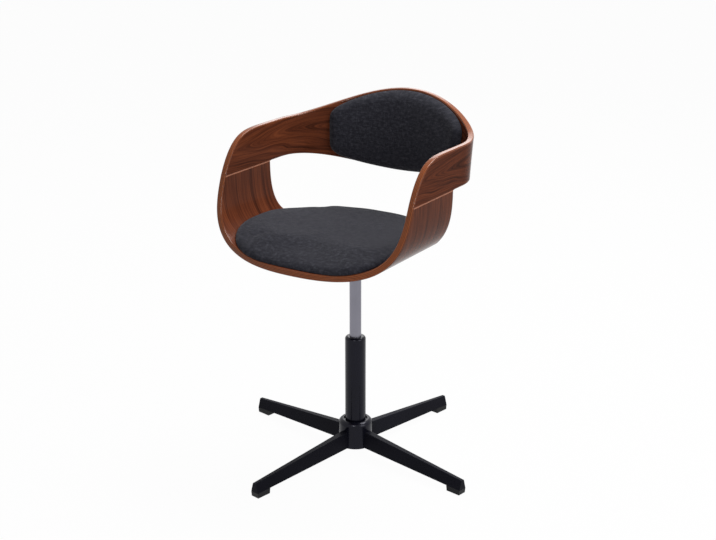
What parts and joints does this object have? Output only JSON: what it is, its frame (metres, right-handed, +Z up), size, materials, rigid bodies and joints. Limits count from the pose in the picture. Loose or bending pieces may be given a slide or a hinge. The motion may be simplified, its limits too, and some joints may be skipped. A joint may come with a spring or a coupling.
{
  "type": "swivel dining chair",
  "caption": "Height-adjustable swivel dining chair: bent veneered plywood tub seat with a wrap-round back band, upholstered pads, gas spring column and a splayed steel stand.",
  "frame": {"origin": "on the floor under the column's axis", "axes": "+Z up; the seat faces -Y at rest; +X is to the right of a person who looks at its front"},
  "size_m": [0.6682, 0.6682, 0.857],
  "materials": {
    "walnut_ply": "satin lacquered dark veneer",
    "carrier_board": "raw",
    "charcoal_fabric": "woven melange",
    "black_steel": "satin black powder coat",
    "black_plastic": "matte",
    "grey_tube": "satin",
    "bright_steel": "polished",
    "plain_steel": "zinc plated",
    "piston_metal": "machined",
    "seal_rubber": "matte",
    "cage_plastic": "matte"
  },
  "bodies": {
    "base": {"base_hub": "black_steel", "leg_right": "black_steel", "leg_rear": "black_steel", "leg_left": "black_steel", "leg_front": "black_steel", "glide_right": "black_plastic", "glide_rear": "black_plastic", "glide_left": "black_plastic", "glide_front": "black_plastic", "stand_tube": "black_steel", "guide_bush": "black_plastic", "lower_race": "plain_steel"},
    "bearing": {"bearing_balls": "bright_steel", "bearing_cage": "cage_plastic"},
    "swivel_core": {"upper_race": "plain_steel", "piston_rod": "bright_steel", "rod_clip": "plain_steel", "rubber_bumper": "seal_rubber", "piston": "piston_metal", "piston_ring": "seal_rubber"},
    "seat": {"rod_guide": "piston_metal", "rod_seal": "seal_rubber", "pressure_tube": "grey_tube", "valve_body": "piston_metal", "plate_socket": "black_steel", "seat_plate": "black_steel", "plate_bolts": "plain_steel", "tee_nuts": "plain_steel", "lever_pin": "plain_steel", "seat_shell": "walnut_ply", "back_band": "walnut_ply", "seat_pad_board": "carrier_board", "seat_pad": "charcoal_fabric", "back_pad_board": "carrier_board", "back_pad": "charcoal_fabric"},
    "lever": {"lever_rod": "plain_steel", "lever_grip": "black_plastic"},
    "valve_button": {"valve_pin": "bright_steel"}
  },
  "joints": [
    {"name": "swivel", "type": "hinge", "parent": "base", "child": "swivel_core", "pos_m": [0, 0, 0.0361], "axis": [0, 0, 1], "continuous": true},
    {"name": "bearing_turn", "type": "hinge", "parent": "base", "child": "bearing", "pos_m": [0, 0, 0.03205], "axis": [0, 0, 1], "continuous": true},
    {"name": "seat_height", "type": "slide", "parent": "swivel_core", "child": "seat", "axis": [0, 0, 1], "range_m": [-0.12, 0]},
    {"name": "lever_turn", "type": "hinge", "parent": "seat", "child": "lever", "pos_m": [-0.04, 0, 0.5203], "axis": [0, 1, 0], "range_deg": [0, 5], "stiffness_Nm_per_rad": 4},
    {"name": "button_press", "type": "slide", "parent": "seat", "child": "valve_button", "axis": [0, 0, 1], "range_m": [-0.0036, 0]}
  ],
  "couplings": [
    {"joint": "bearing_turn", "follows": "swivel", "ratio": 0.5},
    {"joint": "button_press", "follows": "lever_turn", "m_per_rad": -0.04}
  ]
}
